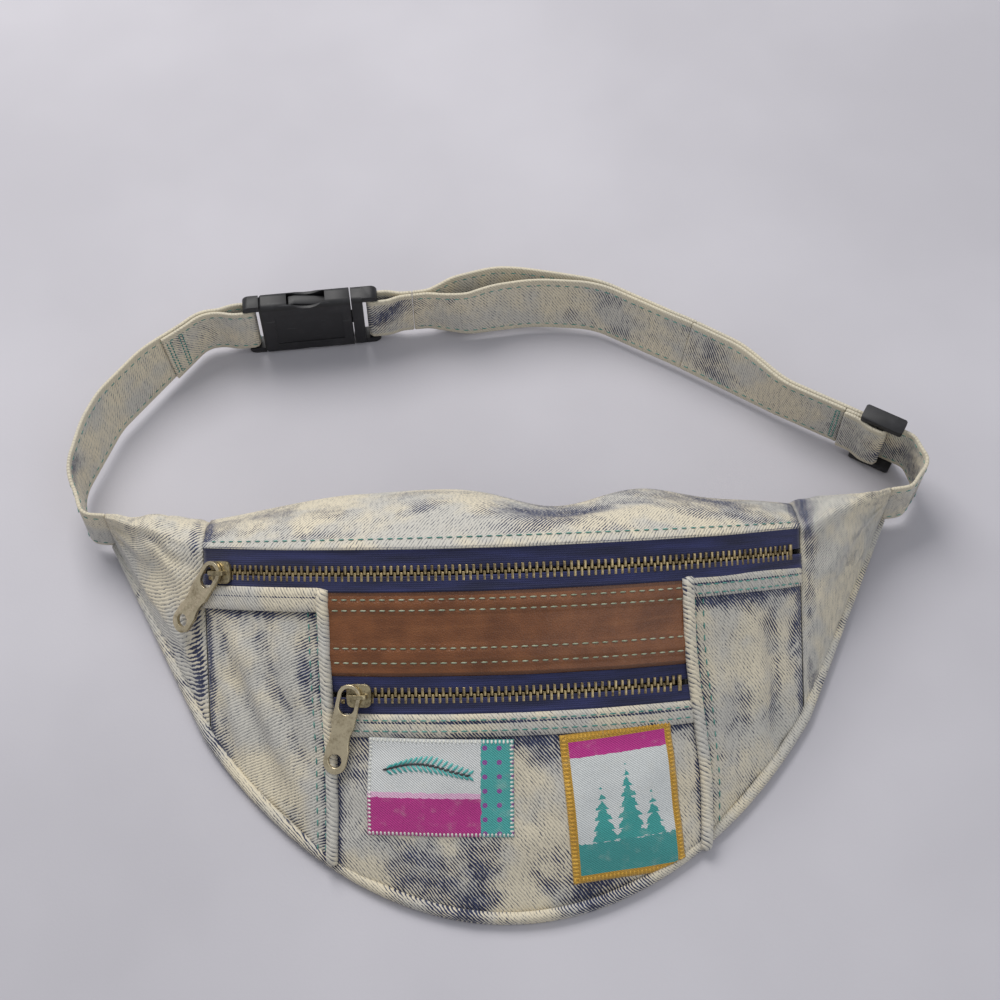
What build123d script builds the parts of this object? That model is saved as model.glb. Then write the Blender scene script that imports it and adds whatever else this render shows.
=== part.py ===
from build123d import *
import math
import os

os.makedirs("parts", exist_ok=True)

# ---------------------------------------------------------------------------
# Waist pack lying on its back panel, belt standing on edge behind it.
# Millimetres. X to the right, Y away from the wearer's front, Z up.
# Origin: centre of the floor face of the back panel.
# ---------------------------------------------------------------------------

# The bag
CLOTH = 2.0          # thickness of the lined denim
SLOPE = 33.0         # slope of the front, degrees
FRONT_RADIUS = 185.0  # how far the front bends side to side
ZIP_HEIGHT = 72.0    # height of the main zip at the middle
ZIP_Y = 30.0         # how far back the main zip is at the middle
BACK_Y = 80.0        # back edge of the back panel
SEAM_X = 116.0       # half width of the bag, at the wing seams
TOP_BULGE = 0.27     # rise of the top panel, as a share of its chord

# The wings and the belt
TIP_X = 158.0        # wing tips
TIP_Y = 84.0
TIP_THICK = 4.0
STRAP_WIDTH = 25.0
STRAP_THICK = 1.5
STRAP_LIFT = 4.0     # the belt's lower edge, above the floor
STRAP_GAP = 0.3      # between a strap's end and what it is sewn to

# The front, measured up the slope from the main zip's centre line
ZIP_HALF = 6.5       # half width of a zip tape pair between the cloth edges
LEATHER_W = -38.5    # lower edge of the leather band
POCKET_TOP = -51.5   # upper edge of the pocket's hem
HEM_W = -60.0        # lower edge of the pocket's hem
SIDE_HEM_W = -13.0   # lower edge of the side panels' hems
POCKET_ANGLE = 21.5  # half width of the pocket, degrees round the front
LINING_HIGH, LINING_DEPTH = -35.0, 12.0
LINING_RISE = 1.4    # the lining's lowest corners, above the back panel
PATCH_THICK = 0.8

# Zips
TAPE_THICK = 0.8
TAPE_DEPTH = 1.0     # middle of the tape below the outer face of the cloth
TAPE_EDGE = 1.6      # inner edge of a tape, from the zip's centre line
PITCH = 2.54         # teeth of one row
TOOTH_LONG, TOOTH_REACH, TOOTH_OVER, TOOTH_HIGH = 1.0, 2.9, 0.4, 2.4
TOOTH_SLACK = 0.02
MAIN_SLIDER, MAIN_END = -35.5, 36.4      # degrees round the front
POCKET_SLIDER, POCKET_END = -17.3, 20.3
SLIDER_LONG, SLIDER_WIDE, PLATE, PLATE_GAP = 9.5, 8.6, 1.2, 3.0
BAIL_FOOT, BAIL_CLEAR = 3.2, 2.4         # feet at +- this along the zip
PULL_LONG, PULL_WIDE, PULL_THICK = 30.0, 9.0, 1.6
MAIN_PULL_ANGLE, POCKET_PULL_ANGLE = -40.7, -15.0  # from down the slope

# The buckle: its middle, its direction and its sizes
BUCKLE_X, BUCKLE_Y, BUCKLE_TURN = -78.0, 186.2, 4.3
BUCKLE_TALL, BUCKLE_THICK, BUCKLE_HALF = 33.0, 9.0, 29.0
ARM_PIVOT_U, ARM_PIVOT_Z = 14.6, 9.5

# The tri-glide: its middle, its direction and its sizes
GLIDE_X, GLIDE_Y, GLIDE_TURN = 160.0, 116.0, -31.0
GLIDE_HALF, GLIDE_TALL = 9.0, 31.2

BELT_Z = STRAP_LIFT + STRAP_WIDTH / 2
SIN, COS = math.sin(math.radians(SLOPE)), math.cos(math.radians(SLOPE))
AXIS_Y = ZIP_Y + FRONT_RADIUS * SIN
AXIS_Z = ZIP_HEIGHT - FRONT_RADIUS * COS
# The front's axis runs up the slope; its local Y points inwards.
FRONT = Plane(origin=(0, AXIS_Y, AXIS_Z), x_dir=(1, 0, 0), z_dir=(0, COS, SIN)).location
BUCKLE = Pos(BUCKLE_X, BUCKLE_Y, BELT_Z) * Rot(0, 0, BUCKLE_TURN)
GLIDE = Pos(GLIDE_X, GLIDE_Y, BELT_Z) * Rot(0, 0, GLIDE_TURN)
BIG = 600.0
SEAM_ANGLE = 42.0    # wider than the seams; the pieces are trimmed at them


def box(x0, x1, y0, y1, z0, z1):
    return Pos((x0 + x1) / 2, (y0 + y1) / 2, (z0 + z1) / 2) * Box(x1 - x0, y1 - y0, z1 - z0)


ROOM = box(-SEAM_X, SEAM_X, -BIG, BIG, CLOTH, BIG)


def band(t0, t1, w0, w1, r_in, r_out):
    """A piece of the bent front, t in degrees round it and w up the slope."""
    outer = CenterArc((0, 0), r_out, t0 - 90, t1 - t0)
    inner = CenterArc((0, 0), r_in, t0 - 90, t1 - t0)
    face = make_face([outer, Line(outer @ 1, inner @ 1), inner, Line(inner @ 0, outer @ 0)])
    return FRONT * Pos(0, 0, w0) * extrude(face, amount=w1 - w0, dir=(0, 0, 1))


def panel(t0, t1, w0, w1, proud=0.0, inner=CLOTH):
    return band(t0, t1, w0, w1, FRONT_RADIUS - inner, FRONT_RADIUS + proud) & ROOM


def on_front(t, w=0.0, r=FRONT_RADIUS):
    """Place on the front: X round it, Y up the slope, Z outwards."""
    return FRONT * Rot(0, 0, t) * Pos(0, -r, w) * Rot(90, 0, 0)


def front_point(x, w, r=FRONT_RADIUS):
    t = math.asin(x / r)
    out = r * math.cos(t)
    return Vector(x, AXIS_Y - out * SIN + w * COS, AXIS_Z + out * COS + w * SIN)


def save(name, shape):
    solids = shape.solids()
    shape = solids[0] if len(solids) == 1 else Compound(solids)
    shape.label = name
    export_step(shape, f"parts/{name}.step")


# ---------------------------------------------------------------------------
# Back panel, front panels, hems and patches
# ---------------------------------------------------------------------------
floor_slab = box(-SEAM_X, SEAM_X, -BIG, BACK_Y, 0, CLOTH)
front_cylinder = FRONT * Pos(0, 0, -BIG / 2) * extrude(Circle(FRONT_RADIUS), amount=BIG, dir=(0, 0, 1))
back_panel = floor_slab & front_cylinder
save("back_panel", back_panel)

BOTTOM_W = -150.0
save("pocket_panel", panel(-POCKET_ANGLE, POCKET_ANGLE, BOTTOM_W, HEM_W))
save("pocket_hem", panel(-POCKET_ANGLE, POCKET_ANGLE, HEM_W, POCKET_TOP, 0.3))
save("leather_band", panel(-POCKET_ANGLE, POCKET_ANGLE, LEATHER_W, -ZIP_HALF))
FOLD_IN, FOLD_OUT, FOLD_PROUD = 0.55, 0.4, 1.2   # degrees, degrees, mm
for side, sign in (("left", -1), ("right", 1)):
    a, b = sorted((sign * POCKET_ANGLE, sign * SEAM_ANGLE))
    save(f"{side}_side_panel", panel(a, b, BOTTOM_W, SIDE_HEM_W))
    save(f"{side}_side_hem", panel(a, b, SIDE_HEM_W, -ZIP_HALF, 0.3))
    a, b = sorted((sign * (POCKET_ANGLE - FOLD_IN), sign * (POCKET_ANGLE + FOLD_OUT)))
    fold = band(a, b, BOTTOM_W, SIDE_HEM_W, FRONT_RADIUS, FRONT_RADIUS + FOLD_PROUD) & ROOM
    hem = band(a, b, HEM_W, POCKET_TOP, FRONT_RADIUS, FRONT_RADIUS + 0.3)
    save(f"{side}_pocket_fold", fold - hem)


def patch(x, w, wide, high):
    middle = math.degrees(math.asin(x / FRONT_RADIUS))
    half = math.degrees(wide / 2 / FRONT_RADIUS)
    return band(middle - half, middle + half, w - high / 2, w + high / 2,
                FRONT_RADIUS, FRONT_RADIUS + PATCH_THICK) & ROOM


save("patch_left", patch(-28.0, -80.6, 54.0, 36.0))
save("patch_right", patch(39.0, -88.5, 43.0, 56.0))

# The pocket's lining: a shallow tray behind the pocket and its zip
LINING_LOW = (CLOTH + LINING_RISE - AXIS_Z - (FRONT_RADIUS - LINING_DEPTH) * COS
              * math.cos(math.radians(POCKET_ANGLE))) / SIN
tray = band(-POCKET_ANGLE, POCKET_ANGLE, LINING_LOW, LINING_HIGH,
            FRONT_RADIUS - LINING_DEPTH, FRONT_RADIUS - CLOTH)
tray_room = band(-POCKET_ANGLE + 0.35, POCKET_ANGLE - 0.35, LINING_LOW + 1, LINING_HIGH - 1,
                 FRONT_RADIUS - LINING_DEPTH + 1, FRONT_RADIUS)
save("pocket_lining", tray - tray_room)

# ---------------------------------------------------------------------------
# Top panel and wings
# ---------------------------------------------------------------------------


def top_points(x, inset):
    """Front edge, crown and back edge of the top panel's section at x."""
    front = front_point(x, ZIP_HALF, FRONT_RADIUS - inset)
    back = Vector(x, BACK_Y - inset, CLOTH)
    a = front_point(x, ZIP_HALF)
    b = Vector(x, BACK_Y, CLOTH)
    chord = b - a
    away = Vector(0, -chord.Z, chord.Y).normalized()
    crown = (a + b) * 0.5 + away * (TOP_BULGE * chord.length - inset)
    return front, crown, back


def top_section(x):
    a, b, c = top_points(x, 0)
    d, e, f = top_points(x, CLOTH)
    return make_face([ThreePointArc(a, b, c), Line(c, f), ThreePointArc(f, e, d), Line(d, a)])


top_panel = loft([top_section(x) for x in (-SEAM_X, -75, -38, 0, 38, 75, SEAM_X)])
save("top_panel", top_panel)


def wing(sign):
    x = sign * SEAM_X
    a, b, c = top_points(x, 0)
    floor = AXIS_Z + math.sqrt(FRONT_RADIUS**2 - SEAM_X**2) * COS
    toe = front_point(x, -floor / SIN)
    heel = Vector(x, BACK_Y, 0)
    base = make_face([Line(toe, a), ThreePointArc(a, b, c), Line(c, heel), Line(heel, toe)])
    low, high = STRAP_LIFT, STRAP_LIFT + STRAP_WIDTH
    y0, y1 = TIP_Y - TIP_THICK / 2, TIP_Y + TIP_THICK / 2

    def at(y, z, share=1.0, of=None):
        p = Vector(sign * TIP_X, y, z)
        return p if of is None else of * (1 - share) + p * share

    p, q, r, s, t = (y0, low), (y0, high), (y1, high - 6), (y1, low + 2), (y1, low)
    tip = make_face([Line(at(*p), at(*q)), ThreePointArc(at(*q), at(*r), at(*s)),
                     Line(at(*s), at(*t)), Line(at(*t), at(*p))])
    return loft([base, tip], ruled=True)


save("left_wing", wing(-1))
save("right_wing", wing(1))

# ---------------------------------------------------------------------------
# Zips
# ---------------------------------------------------------------------------
TAPE_R = FRONT_RADIUS - TAPE_DEPTH


def tape(w, side, t0, t1):
    w0, w1 = sorted((w + side * TAPE_EDGE, w + side * ZIP_HALF))
    return band(t0, t1, w0, w1, TAPE_R - TAPE_THICK / 2, TAPE_R + TAPE_THICK / 2) & ROOM


def tooth(side):
    """One tooth clamped on the tape's edge; X along the zip, Y across it."""
    y0, y1 = sorted((-side * TOOTH_OVER, side * TOOTH_REACH))
    s0, s1 = sorted((side * (TAPE_EDGE - TOOTH_SLACK), side * (TOOTH_REACH + 1)))
    half = TAPE_THICK / 2 + TOOTH_SLACK
    body = box(-TOOTH_LONG / 2, TOOTH_LONG / 2, y0, y1, -TOOTH_HIGH / 2, TOOTH_HIGH / 2)
    return body - box(-TOOTH_LONG, TOOTH_LONG, s0, s1, -half, half)


def teeth(w, side, t0, t1):
    step = math.degrees(PITCH / TAPE_R)
    first = t0 if side > 0 else t0 + step / 2
    one = tooth(side)
    count = int((t1 - first) / step) + 1
    return Compound([on_front(first + i * step, w, TAPE_R) * one for i in range(count)])


def slider():
    """X along the zip, Y across it, Z outwards, middle of the tape at 0."""
    x, y, z = SLIDER_LONG / 2, SLIDER_WIDE / 2, PLATE_GAP / 2
    body = None
    for up in (1, -1):
        a, b = sorted((up * z, up * (z + PLATE)))
        plate = box(-x, x, -y, y, a, b)
        plate = fillet(plate.edges().filter_by(Axis.Z), 2.2)
        for across in (1, -1):
            c, d = sorted((across * (y - 0.8), across * y))
            e, f = sorted((up * 0.6, up * (z + 0.1)))
            plate += box(-x + 2.4, x - 2.4, c, d, e, f)
        body = plate if body is None else body + plate
    body += box(-x + 0.3, -x + 2.4, -0.6, 0.6, -z - 0.1, z + 0.1)
    top = z + PLATE
    for foot in (-BAIL_FOOT, BAIL_FOOT):
        body += box(foot - 0.6, foot + 0.6, -0.8, 0.8, top - 0.1, top + BAIL_CLEAR + 0.1)
    arch = box(-BAIL_FOOT - 0.6, BAIL_FOOT + 0.6, -0.8, 0.8, top + BAIL_CLEAR, top + BAIL_CLEAR + 1.1)
    arch = chamfer(arch.edges().filter_by(Axis.Y).group_by(Axis.Z)[-1], 0.7)
    return body + arch


def pull(angle):
    """Flat pull, threaded on the slider's left bail foot."""
    run = PULL_LONG - PULL_WIDE / 2
    outline = Pos(0, -run / 2) * Rot(0, 0, 90) * SlotCenterToCenter(run, PULL_WIDE)
    window = Pos(0, -2) * Rot(0, 0, 90) * SlotCenterToCenter(4, PULL_WIDE - 3)
    hole = Pos(0, -run + 0.6) * Circle(2.6)
    waist = [Pos(s * (PULL_WIDE / 2 + 12.2), -run * 0.62) * Circle(13.0) for s in (-1, 1)]
    shape = outline - window - hole
    for cut in waist:
        shape -= cut
    flat = extrude(shape, amount=PULL_THICK, dir=(0, 0, 1))
    lift = PLATE_GAP / 2 + PLATE + 0.3
    return Pos(-BAIL_FOOT, 0, lift) * Rot(0, 0, angle) * flat


def stop(t, w, y0, y1, long=1.5):
    low, high = TAPE_THICK / 2 + 0.02, TAPE_THICK / 2 + 1.0
    return on_front(t, w, TAPE_R) * box(-long / 2, long / 2, y0, y1, low, high)


def zip_parts(name, w, slider_t, end_t, tape_t, upper, lower, pull_angle, stop_t):
    save(f"{name}_zip_tape_{upper}", tape(w, 1, -tape_t, tape_t))
    save(f"{name}_zip_tape_{lower}", tape(w, -1, -tape_t, tape_t))
    first = slider_t - math.degrees(1.6 / TAPE_R)
    save(f"{name}_zip_teeth_{upper}", teeth(w, 1, first, end_t))
    save(f"{name}_zip_teeth_{lower}", teeth(w, -1, first, end_t))
    end_stop = end_t + math.degrees(1.7 / TAPE_R)
    save(f"{name}_zip_stops", Compound([
        stop(stop_t, w, 1.7, 3.2), stop(stop_t, w, -3.2, -1.7), stop(end_stop, w, -3.0, 3.0)]))
    place = on_front(slider_t, w, TAPE_R)
    save(f"{name}_slider", place * slider())
    save(f"{name}_pull", place * pull(pull_angle))


zip_parts("main", 0.0, MAIN_SLIDER, MAIN_END, SEAM_ANGLE, "rear", "front",
          MAIN_PULL_ANGLE, MAIN_SLIDER - 2.1)
POCKET_ZIP_W = (LEATHER_W + POCKET_TOP) / 2
zip_parts("pocket", POCKET_ZIP_W, POCKET_SLIDER, POCKET_END - 0.7, POCKET_ANGLE, "upper", "lower",
          POCKET_PULL_ANGLE, POCKET_SLIDER - 2.1)

# ---------------------------------------------------------------------------
# Straps: upright ribbons along a path of straight runs and rounded corners
# ---------------------------------------------------------------------------


def spot(place, x, y):
    p = (place * Pos(x, y, 0)).position
    return (p.X, p.Y)


def beside(points, d):
    """The path moved sideways by d, left of its direction positive."""
    out = []
    for i, (x, y) in enumerate(points):
        legs = []
        for j in (i - 1, i):
            if 0 <= j < len(points) - 1:
                dx, dy = points[j + 1][0] - points[j][0], points[j + 1][1] - points[j][1]
                n = math.hypot(dx, dy)
                legs.append((-dy / n, dx / n))
        nx, ny = (sum(c) for c in zip(*legs))
        k = 1.0 if len(legs) == 1 else 2.0
        size = nx * nx + ny * ny
        scale = k * d / size if len(legs) == 2 else d
        out.append((x + nx * scale, y + ny * scale))
    return out


def turning(a, b, c):
    return (b[0] - a[0]) * (c[1] - b[1]) - (b[1] - a[1]) * (c[0] - b[0])


def side_edges(points, radii):
    edges, last = [], points[0]
    for i in range(1, len(points) - 1):
        a, b, c = points[i - 1], points[i], points[i + 1]
        u = (a[0] - b[0], a[1] - b[1])
        v = (c[0] - b[0], c[1] - b[1])
        lu, lv = math.hypot(*u), math.hypot(*v)
        u, v = (u[0] / lu, u[1] / lu), (v[0] / lv, v[1] / lv)
        half = math.acos(max(-1, min(1, u[0] * v[0] + u[1] * v[1]))) / 2
        reach = radii[i - 1] / math.tan(half)
        m = (u[0] + v[0], u[1] + v[1])
        lm = math.hypot(*m)
        away = radii[i - 1] / math.sin(half) - radii[i - 1]
        start = (b[0] + u[0] * reach, b[1] + u[1] * reach)
        mid = (b[0] + m[0] / lm * away, b[1] + m[1] / lm * away)
        end = (b[0] + v[0] * reach, b[1] + v[1] * reach)
        edges += [Line(last, start), ThreePointArc(start, mid, end)]
        last = end
    return edges + [Line(last, points[-1])]


def ribbon(points, radii, thick=STRAP_THICK, width=STRAP_WIDTH, z=STRAP_LIFT):
    sides = []
    for d in (thick / 2, -thick / 2):
        turned = [r - d if turning(*points[i:i + 3]) > 0 else r + d
                  for i, r in enumerate(radii)]
        sides.append((beside(points, d), turned))
    (left, left_r), (right, right_r) = sides
    face = make_face(side_edges(left, left_r) + [Line(left[-1], right[-1])]
                     + side_edges(right, right_r) + [Line(right[0], left[0])])
    return Pos(0, 0, z) * extrude(face, amount=width, dir=(0, 0, 1))


LAYER = STRAP_THICK + 0.15     # between the middles of two layers lying together
BAR_U = BUCKLE_HALF - 4.4      # where a strap turns round a buckle's bar
BAR_T = 2.6
BAR_HALF = 1.45
BAR_ROUND = 1.5

corner = spot(BUCKLE, -48.0, LAYER / 2)
left_run = [(-TIP_X - STRAP_GAP, TIP_Y), (-168.0, 85.0), (-174.0, 106.0), (-160.0, 140.0), corner,
            spot(BUCKLE, -40.0, LAYER / 2)]
turn = [spot(BUCKLE, -33.5, BAR_T), spot(BUCKLE, -BAR_U, BAR_T), spot(BUCKLE, -BAR_U, -BAR_T),
        spot(BUCKLE, -33.5, -BAR_T)]
start_hem = ((corner[0] * 0.62 + left_run[3][0] * 0.38), (corner[1] * 0.62 + left_run[3][1] * 0.38))
hem_back = beside([start_hem, corner, spot(BUCKLE, -40.0, LAYER / 2)], -LAYER)[::-1]
left_strap = ribbon(left_run + turn + hem_back,
                    [6, 22, 30, 12, 8, 8, BAR_ROUND, BAR_ROUND, 8, 8, 12 - LAYER])
save("left_strap", left_strap)

MALE_TAIL = 44.0
save("male_strap_loop", ribbon(
    [spot(BUCKLE, u, t) for u, t in (
        (MALE_TAIL, LAYER / 2), (39.0, LAYER / 2), (33.0, BAR_T), (BAR_U, BAR_T), (BAR_U, -BAR_T),
        (33.0, -BAR_T), (39.0, -LAYER / 2), (MALE_TAIL, -LAYER / 2))],
    [8, 8, BAR_ROUND, BAR_ROUND, 8, 8]))

RUN_BUCKLE_END, RUN_TURN_END = -45.0, 12.5
outer_path = [(TIP_X + STRAP_GAP, TIP_Y), (167.0, 85.0), (175.0, 96.0),
              spot(GLIDE, RUN_TURN_END + 1.5, 0), spot(GLIDE, RUN_BUCKLE_END, 0), (80.0, 166.5),
              (46.0, 187.0), (8.0, 196.0), (-16.0, 195.5), spot(BUCKLE, 51.0, LAYER / 2),
              spot(BUCKLE, MALE_TAIL + STRAP_GAP, LAYER / 2)]
save("adjust_strap", ribbon(outer_path, [6, 8, 5, 60, 60, 40, 60, 14, 10]))

LOOP_TAIL = -16.0
together = beside(outer_path[3:7], LAYER)
inner_path = [spot(GLIDE, LOOP_TAIL - STRAP_GAP, -LAYER)] + together[1:3] + [
    together[3], (18.7, 188.2), (-10.0, 185.0), spot(BUCKLE, 51.0, -LAYER / 2),
    spot(BUCKLE, MALE_TAIL + STRAP_GAP, -LAYER / 2)]
save("adjust_strap_return", ribbon(inner_path, [60, 60, 34, 70, 20, 12]))

# ---------------------------------------------------------------------------
# Side-release buckle: u along the strap, t through it, z up
# ---------------------------------------------------------------------------
TALL, DEEP = BUCKLE_TALL / 2, BUCKLE_THICK / 2
SLOT_Z = STRAP_WIDTH / 2 + 0.7
FEMALE_MOUTH, MALE_FACE = 17.0, 17.6
CAVITY_Z, CAVITY_T = 13.5, 3.0


def end_frame(side, tall):
    """The slotted end of either half, with a round bar for the strap."""
    a, b = sorted((side * 22.0, side * BUCKLE_HALF))
    frame = box(a, b, -3.2, 3.2, -tall, tall)
    frame = fillet(frame.edges().filter_by(Axis.Y).group_by(Axis.X)[-1 if side > 0 else 0], 3.0)
    c, d = sorted((side * 22.0, side * 25.5))
    slot = box(c, d, -5, 5, -SLOT_Z, SLOT_Z)
    e, f = sorted((side * 25.5, side * (BUCKLE_HALF + 1)))
    over = [box(e, f, s0, s1, -SLOT_Z, SLOT_Z) for s0, s1 in ((BAR_HALF, 5), (-5, -BAR_HALF))]
    return frame - slot - over[0] - over[1]


female = box(-22.2, FEMALE_MOUTH, -DEEP, DEEP, -TALL, TALL)
female = fillet(female.edges().filter_by(Axis.X), 2.6)
female = chamfer(female.edges().filter_by(Axis.Y).group_by(Axis.X)[0], 1.2)
female -= box(-18.0, FEMALE_MOUTH + 1, -CAVITY_T, CAVITY_T, -CAVITY_Z, CAVITY_Z)
female -= box(-10.0, 6.5, -CAVITY_T, CAVITY_T, -TALL - 1, TALL + 1)
# thumb scoops beside the windows, and a shallow sunk panel on both faces
for s in (-1, 1):
    female -= Pos(-1.5, 0, s * (TALL + 10.5)) * Rot(90, 0, 0) * Cylinder(12.5, 20)
    female -= box(-16.0, 13.0, s * DEEP - 0.35, s * DEEP + 0.35, -9.5, 9.5)
female += end_frame(-1, TALL)
save("buckle_female", BUCKLE * female)

male = box(MALE_FACE, 22.3, -DEEP + 0.2, DEEP - 0.2, -TALL + 0.3, TALL - 0.3)
male = fillet(male.edges().filter_by(Axis.X), 2.2)
male += end_frame(1, TALL - 0.3)
male += box(-13.0, MALE_FACE + 0.5, -1.8, 1.8, -2.2, 2.2)
save("buckle_male", BUCKLE * male)


def arm(side):
    """A locking arm with its shoulder standing in the female half's window."""
    z = ARM_PIVOT_Z
    shape = make_face(Polyline(
        (ARM_PIVOT_U, z - 2.0), (ARM_PIVOT_U, z + 2.0), (8.5, z + 3.4), (5.4, z + 4.1),
        (-6.5, 15.6), (-9.4, 15.2), (-9.4, 12.6), (-14.5, 11.0), (-16.0, 9.0), (-14.0, 7.4),
        (-4.0, 8.3), (6.0, 8.0), (ARM_PIVOT_U, z - 2.0)))
    shape += Pos(ARM_PIVOT_U, z) * Circle(2.0)
    body = extrude(shape, amount=2.4, dir=(0, 0, 1), both=True)
    body = Rot(90, 0, 0) * body
    return body if side > 0 else body.mirror(Plane.XY)


save("buckle_arm_upper", BUCKLE * arm(1))
save("buckle_arm_lower", BUCKLE * arm(-1))

# ---------------------------------------------------------------------------
# Tri-glide and the strap's sewn end round its middle bar
# ---------------------------------------------------------------------------
rail0, rail1 = STRAP_WIDTH / 2 + 0.4, GLIDE_TALL / 2
glide = None
for s in (-1, 1):
    a, b = sorted((s * rail0, s * rail1))
    rail = box(-GLIDE_HALF, GLIDE_HALF, -4.5, 2.9, a, b)
    rail = fillet(rail.edges().filter_by(Axis.Z), 1.2)
    glide = rail if glide is None else glide + rail
for s in (-1, 1):
    a, b = sorted((s * 6.6, s * (GLIDE_HALF - 0.1)))
    bar = box(a, b, 0.9, 2.8, -rail0 - 0.2, rail0 + 0.2)
    glide += fillet(bar.edges().filter_by(Axis.Z), 0.7)
middle = box(-1.5, 1.5, -4.4, -2.55, -rail0 - 0.2, rail0 + 0.2)
glide += fillet(middle.edges().filter_by(Axis.Z), 0.7)
save("triglide", GLIDE * glide)

LOOP_BACK = -4.4 - 0.15 - STRAP_THICK / 2
save("adjuster_loop", ribbon(
    [spot(GLIDE, s, t) for s, t in (
        (LOOP_TAIL, -LAYER), (2.45, -LAYER), (2.45, LOOP_BACK), (-4.0, LOOP_BACK),
        (-9.5, -2 * LAYER), (LOOP_TAIL, -2 * LAYER))],
    [1.7, 1.7, 6, 6]))
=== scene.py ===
# %% [markdown]
# # A denim waist pack
# The pack lies on its flat back. Its front is one big bend, like a piece of a
# wide pipe that slopes up from the table, and both zips run round that bend.
# The CAD model is loaded first and never moves: every cloth piece below is
# laid over it in the same metres.

# %% Load the CAD frame
import math
import random

import bmesh
import bpy
from mathutils import Matrix, Vector, noise


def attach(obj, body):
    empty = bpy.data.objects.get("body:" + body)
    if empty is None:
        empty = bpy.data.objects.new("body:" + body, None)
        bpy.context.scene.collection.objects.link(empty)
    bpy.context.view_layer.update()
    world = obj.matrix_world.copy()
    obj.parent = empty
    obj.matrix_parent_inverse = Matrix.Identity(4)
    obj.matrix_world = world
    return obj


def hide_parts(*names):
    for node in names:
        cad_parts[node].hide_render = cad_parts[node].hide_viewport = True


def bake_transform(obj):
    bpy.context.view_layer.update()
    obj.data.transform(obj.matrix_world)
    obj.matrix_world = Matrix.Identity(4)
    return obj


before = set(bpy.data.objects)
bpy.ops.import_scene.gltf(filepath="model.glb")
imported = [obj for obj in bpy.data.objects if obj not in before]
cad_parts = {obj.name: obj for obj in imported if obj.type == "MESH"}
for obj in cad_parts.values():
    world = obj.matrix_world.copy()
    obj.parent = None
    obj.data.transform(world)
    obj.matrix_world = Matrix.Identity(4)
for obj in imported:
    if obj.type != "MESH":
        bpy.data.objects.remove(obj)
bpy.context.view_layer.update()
MM = 0.001
rng = random.Random(7)

# %% [markdown]
# ## The bent front
# A point of the front is named as on a flat pattern: `s` is how far round the
# bend, `w` is how far up the slope from the main zip, and `out` is how far
# the cloth stands off. The bend's axis is the one the main zip's slider turns
# about. These sizes repeat the CAD model's, because the script can't read them.

# %% The pattern's sizes and the bend
RADIUS = 185 * MM
ZIP_REAR, ZIP_FRONT = 9.0 * MM, 5.6 * MM
SEAM_X = 116 * MM
POCKET_S = math.radians(21.5) * RADIUS
POCKET_ZIP_W = -45 * MM
HEM_TOP, HEM_LOW, SIDE_HEM_LOW = -51.5 * MM, -60 * MM, -13 * MM
SEAM_S = math.asin(SEAM_X / RADIUS) * RADIUS
BACK_Y = 80 * MM
slope = math.radians(33)
UP_SLOPE = Vector((0, math.cos(slope), math.sin(slope)))
OUTWARDS = Vector((0, -math.sin(slope), math.cos(slope)))
AXIS = Vector((0, 30 * MM, 72 * MM)) - OUTWARDS * RADIUS


def on_bend(s, w, out=0.0):
    """The place on the bent front of a point of the flat pattern."""
    turn = s / RADIUS
    ray = Vector((math.sin(turn), 0, 0)) + OUTWARDS * math.cos(turn)
    return AXIS + ray * (RADIUS + out) + UP_SLOPE * w


def floor_w(s, height=2.5 * MM):
    """How far down the slope the front is when it meets the table."""
    return (height - on_bend(s, 0).z) / UP_SLOPE.z


def step(x, low, high):
    """0 below low, 1 above high, and smooth between."""
    t = max(0.0, min(1.0, (x - low) / (high - low)))
    return t * t * (3 - 2 * t)


def mix(a, b, t):
    return a * (1 - t) + b * t


print("bottom of the bag at y", round(on_bend(0, floor_w(0)).y, 4))

# %% [markdown]
# ## Creases
# Denim that has been washed soft never lies flat. One height field serves all
# pieces of the front, so a patch or a stitch rises and falls with the panel it
# is sewn to. The field is calm beside the zips, which keep the cloth straight,
# and gathers in short folds down the side panels, short of the wing seams.

# %% One height field for the whole front


def crease(s, w):
    """Height in metres of the creased cloth above the plain bend."""
    below_main = step(-w, 12 * MM, 30 * MM)
    beside_pocket = step(abs(w - POCKET_ZIP_W), 14 * MM, 26 * MM)
    inside = 1 - step(abs(s), POCKET_S + 4 * MM, POCKET_S + 16 * MM)
    calm = below_main * mix(1.0, beside_pocket, inside)
    spot = Vector((s * 26, w * 20, 3.7))
    broad = 2.0 * noise.noise(spot) + 1.0 * noise.noise(spot * 2.3)
    side = step(abs(s), POCKET_S + 5 * MM, POCKET_S + 20 * MM)
    side *= 1 - step(abs(s), SEAM_S - 14 * MM, SEAM_S - 3 * MM)
    swirl = noise.noise(Vector((s * 22, w * 16, 9.1)))
    ridge = math.sin(abs(s) * 250 + w * (90 if s > 0 else -60) + swirl * 4.5)
    gathers = 1.3 * side * ridge * step(-w, 14 * MM, 32 * MM) * (1 - step(-w, 60 * MM, 100 * MM))
    fine = 0.35 * noise.noise(Vector((s * 110, w * 110, 1.3)))
    belly = 1.6 * inside * step(-w, 62 * MM, 84 * MM) * (1 - step(-w, 96 * MM, 124 * MM))
    rim = 1 - step(abs(s), SEAM_S - 10 * MM, SEAM_S)
    return (calm * (broad + fine + belly) * rim + gathers) * MM


# %% [markdown]
# ## Making a cloth piece
# Each panel starts as a flat grid, is cut to its pattern, and is then laid on
# the bend. The pattern stays with it as its UV map in metres, so a weave drawn
# on the UV map keeps its true size and follows every crease. A second value is
# painted on the points. It is high on crests and folds, where real denim rubs
# pale. It is low in valleys and beside seams and folds, where it is painted
# shade that the denim shows as a darker blue.

# %% Pieces and how they are kept


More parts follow.
